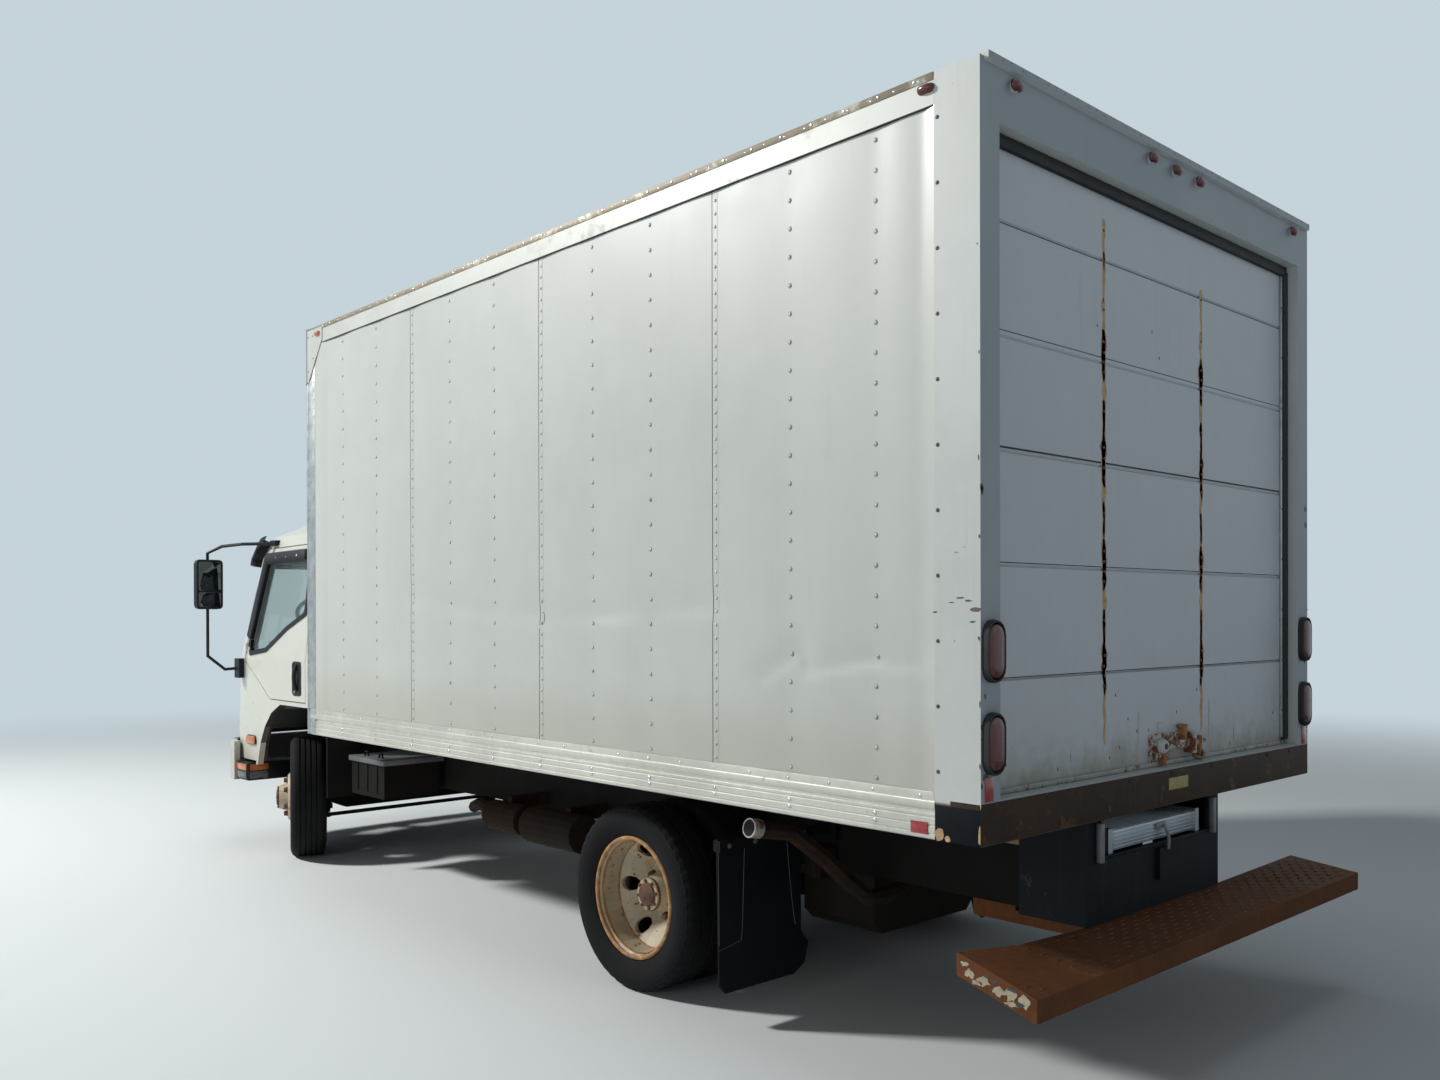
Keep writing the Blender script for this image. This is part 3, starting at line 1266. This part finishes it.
def arch_lip(side):
    return plate(LIP_OUTLINE, "XZ", *sorted(((CAB_HALF - 0.030) * side, (CAB_HALF + LIP_PROUD) * side)))


def cab(holder, left_hinge, right_hinge):
    shell = cab_shell()
    windows = [door_slab(1, WINDOW_OUTLINE), door_slab(-1, WINDOW_OUTLINE)]
    screen = plate(SCREEN_OUTLINE, "YZ", 6.0, 7.2)
    rear = plate(BACK_WINDOW, "YZ", 4.8, 5.4)
    cut(shell, windows + [screen, rear])
    for side, word, hinge in ((1, "left", left_hinge), (-1, "right", right_hinge)):
        door = copy_of(shell)
        boolean(door, door_slab(side, DOOR_OUTLINE), "INTERSECT")
        cut(door, [cab_form(CAB_WALL)] + hinge_pockets(side))
        fixed, moving = hinge_barrels(side)
        fuse([door] + moving)
        pull = block((5.425, 5.555),
                     tuple(sorted(((CAB_HALF - 0.018) * side, (CAB_HALF + 0.020) * side))),
                     (1.105, 1.320))
        cut(door, [pull])
        grip = block((5.44, 5.54), tuple(sorted(((CAB_HALF - 0.030) * side, (CAB_HALF - 0.004) * side))),
                     (1.20, 1.30))
        fuse([door, grip] + window_frame(side))
        finish(door, "door_" + word, "cab_white", hinge)
        pane = glass_sheet(door_slab(side, window_ring(WINDOW_OUTLINE, TOUCH)), 0.020)
        finish(pane, "door_glass_" + word, "glass", hinge)
        opening = door_slab(side, grown(DOOR_OUTLINE, SHUT))
        cut(opening, [floor_inside()])
        cut(shell, [opening] + hinge_pockets(side))
        fuse([shell, arch_lip(side)] + fixed)
    panel = cab_form(0.0)
    cut(panel, [cab_form(PANEL_T)])
    boolean(panel, plate(PANEL_OUTLINE, "YZ", 6.5, 7.2), "INTERSECT")
    recess = cab_form(-0.05)
    cut(recess, [cab_form(PANEL_T + TOUCH)])
    boolean(recess, plate(grown(PANEL_OUTLINE, TOUCH), "YZ", 6.5, 7.2), "INTERSECT")
    cut(shell, [recess])
    for side in (1, -1):
        lug = [(PIVOT_X - 0.045, PIVOT_Z - 0.01), (PIVOT_X - 0.02, PIVOT_Z - 0.04),
               (PIVOT_X + 0.02, PIVOT_Z - 0.04),
               (PIVOT_X + 0.045, PIVOT_Z - 0.01), (PIVOT_X + 0.045, FOOT_Z + 0.01),
               (PIVOT_X - 0.045, FOOT_Z + 0.01)]
        arm = plate(lug, "XZ", *sorted((LUG_Y[0] * side, LUG_Y[1] * side)))
        bore = rod((PIVOT_X, (LUG_Y[0] - 0.1) * side, PIVOT_Z),
                   (PIVOT_X, (LUG_Y[1] + 0.1) * side, PIVOT_Z),
                   PIVOT_R + PIN_FIT, 20)
        cut(arm, [bore])
        fuse([shell, arm])
    finish(shell, "cab_body", "cab_white", holder)
    front_panel(panel, holder)
    pane = glass_sheet(plate(window_ring(SCREEN_OUTLINE, TOUCH), "YZ", 6.0, 7.2), 0.018)
    finish(pane, "windscreen", "glass", holder)
    pane = glass_sheet(plate(window_ring(BACK_WINDOW, TOUCH), "YZ", 4.8, 5.4), 0.020)
    finish(pane, "back_glass", "glass", holder)


def front_panel(panel, holder):
    """The panel under the windscreen with its three grille slots."""
    half = CAB_HALF - 0.53
    slots = [block((CAB_NOSE - 0.055, 7.0), (-half, half), (z - 0.018, z + 0.018)) for z in (0.99, 1.05,
                                                                                             1.11)]
    cut(panel, slots)
    finish(panel, "front_panel", "cab_white", holder)


def headlamp(side, holder):
    body = cab_form(-0.012)
    core = cab_form(TOUCH * -1)
    inner = (CAB_HALF - 0.295) * side
    outer = (CAB_HALF - 0.045) * side
    zone = plate(((inner, 0.79), (outer, 0.80), (outer, 1.00), (inner, 0.96)), "YZ", 6.3, 7.2)
    cut(body, [core])
    boolean(body, zone, "INTERSECT")
    return finish(body, "headlamp_left" if side > 0 else "headlamp_right", "lamp", holder)


def sun_visor(holder):
    body = cab_form(-0.085)
    core = cab_form(-0.070)
    zone = plate(((6.10, 2.000), (6.80, 1.935), (6.80, 2.10), (6.10, 2.165)), "XZ",
                 0.04 - CAB_HALF, CAB_HALF - 0.04)
    cut(body, [core])
    boolean(body, zone, "INTERSECT")
    for y in (0.48 - CAB_HALF, 0.0, CAB_HALF - 0.48):
        foot = block((6.34, 6.50), (y - 0.02, y + 0.02), (2.040, 2.085))
        fuse([body, foot])
    form = cab_form(-TOUCH)
    boolean(body, form, "DIFFERENCE")
    return finish(body, "sun_visor", "black", holder)


MIRROR_X = 6.500
MIRROR_Y = CAB_HALF + 0.205


def mirror(side, holder):
    """Mirror head on a bent tube from the cab's corner to the edge of the roof."""
    x = MIRROR_X
    y = MIRROR_Y
    arm = pipe([(x - 0.07, CAB_HALF - 0.02, 1.255), (x - 0.03, CAB_HALF + 0.10, 1.245), (x, y, 1.34),
                (x, y, 2.055),
                (x - 0.10, y - 0.06, 2.10), (6.20, CAB_HALF + 0.08, 2.110),
                (6.04, CAB_HALF - 0.072, 2.113)], 0.011)
    foot = block((DOOR_HINGE_X + 0.032, x - 0.03), (CAB_HALF - 0.06, CAB_HALF + 0.035), (1.185, 1.320))
    foot_top = block((6.00, 6.085), (CAB_HALF - 0.13, CAB_HALF - 0.065), (2.098, 2.134))
    head = block((x - 0.045, x + 0.035), (y - 0.090, y + 0.090), (1.665, 2.010))
    trim = head.modifiers.new("round", "BEVEL")
    trim.width = 0.03
    trim.segments = 2
    trim.limit_method = "NONE"
    bake(head)
    body = fuse([head, arm, foot, foot_top])
    boolean(body, cab_form(-TOUCH), "DIFFERENCE")
    if side < 0:
        left = body
        body = mirrored(left)
        bpy.data.objects.remove(left, do_unlink=True)
    return finish(body, "mirror_left" if side > 0 else "mirror_right", "black", holder)


def seats(holder):
    """Driver's seat, on the left, and the bench beside it, on one base."""
    floor = FLOOR_CAB + CAB_WALL + TOUCH
    hump = ENGINE_TOP + 0.02 + CAB_WALL * 0.8
    back = CAB_REAR + CAB_WALL + 0.08
    wide = CAB_HALF - 0.15
    pieces = [block((back + 0.02, 5.74), (0.02 - wide, wide - 0.02), (hump + TOUCH, hump + 0.05))]
    for low, high in ((TUNNEL_HALF + 0.04, wide), (-wide, -0.16)):
        pieces.append(block((back + 0.04, 5.76), (low, high), (hump + 0.03, hump + 0.16)))
        pieces.append(block((back, back + 0.13), (low, high), (hump + 0.05, hump + 0.58)))
        pieces.append(block((back + 0.01, back + 0.10), (low + 0.12, high - 0.12),
                            (hump + 0.52, hump + 0.72)))
    for side in (1, -1):
        y = tuple(sorted(((TUNNEL_HALF + CAB_WALL + 0.065) * side, (wide - 0.04) * side)))
        pieces.append(block((back + 0.10, 5.66), y, (floor, hump + 0.03)))
    return finish(fuse(pieces), "seats", "cloth", holder)


def dashboard(holder):
    """Dashboard with the steering column and wheel in front of the driver."""
    dash = cab_form(CAB_WALL + TOUCH)
    zone = plate(((6.28, 1.02), (6.90, 1.02), (6.90, 1.325), (6.42, 1.345), (6.28, 1.28)), "XZ",
                 0.13 - CAB_HALF, CAB_HALF - 0.13)
    boolean(dash, zone, "INTERSECT")
    driver = CAB_HALF - 0.48
    column = rod((6.42, driver, 1.200), (6.090, driver, 1.575), 0.028, 12)
    rim_at = Vector((6.075, driver, 1.592))
    lean = Vector((-0.66, 0.0, 0.75))
    bm = bmesh.new()
    wheel = turned([(0.218 + 0.013 * math.cos(a), 0.013 * math.sin(a))
                    for a in [2 * math.pi * i / 6 for i in range(6)]], 20, (0, 0, 0), "Z")
    bm.from_mesh(wheel.data)
    turn = lean.to_track_quat("Z", "Y").to_matrix().to_4x4()
    bmesh.ops.transform(bm, matrix=Matrix.Translation(rim_at) @ turn, verts=bm.verts)
    bm.to_mesh(wheel.data)
    bm.free()
    spokes = []
    for a in (0.0, 2.1, -2.1):
        tip = rim_at + turn.to_3x3() @ Vector((0.215 * math.cos(a), 0.215 * math.sin(a), 0))
        spokes.append(rod(tuple(rim_at + lean * -0.012), tuple(tip), 0.012, 8))
    boss = rod(tuple(rim_at - lean * 0.05), tuple(rim_at + lean * 0.012), 0.05, 14)
    return finish(fuse([dash, column, boss] + spokes + [wheel]), "dashboard", "black", holder)


def build():
    global truck
    clear_scene()
    make_collections()
    truck = empty("box_truck_origin", (-MID_X, 0, 0))
    bpy.context.view_layer.update()
    chassis_frame()
    rear_axle()
    front_axle()
    propeller_shaft()
    engine()
    fuel_tank()
    exhaust()
    battery_box()
    mud_flap(1)
    mud_flap(-1)
    front_bumper()
    floor_structure()
    for side in (1, -1):
        base_rail(side)
        side_panel(side)
    roof()
    front_wall()
    rear_frame()
    roll_up_door()
    door_latch()
    rear_step()
    ramp_housing()
    ramp(empty("slide_ramp", (HOUSING_REAR, 0, RAIL_TOP), truck))
    running_gear()
    pivot = empty("axis_cab_tilt", (PIVOT_X, 0, PIVOT_Z), truck)
    hinges = [empty("axis_door_" + word, (DOOR_HINGE_X, (CAB_HALF - HINGE_IN) * side, sum(HINGE_Z) / 2),
                    truck)
              for side, word in ((1, "left"), (-1, "right"))]
    cab(pivot, hinges[0], hinges[1])
    headlamp(1, pivot)
    headlamp(-1, pivot)
    sun_visor(pivot)
    mirror(1, pivot)
    mirror(-1, pivot)
    seats(pivot)
    dashboard(pivot)


build()
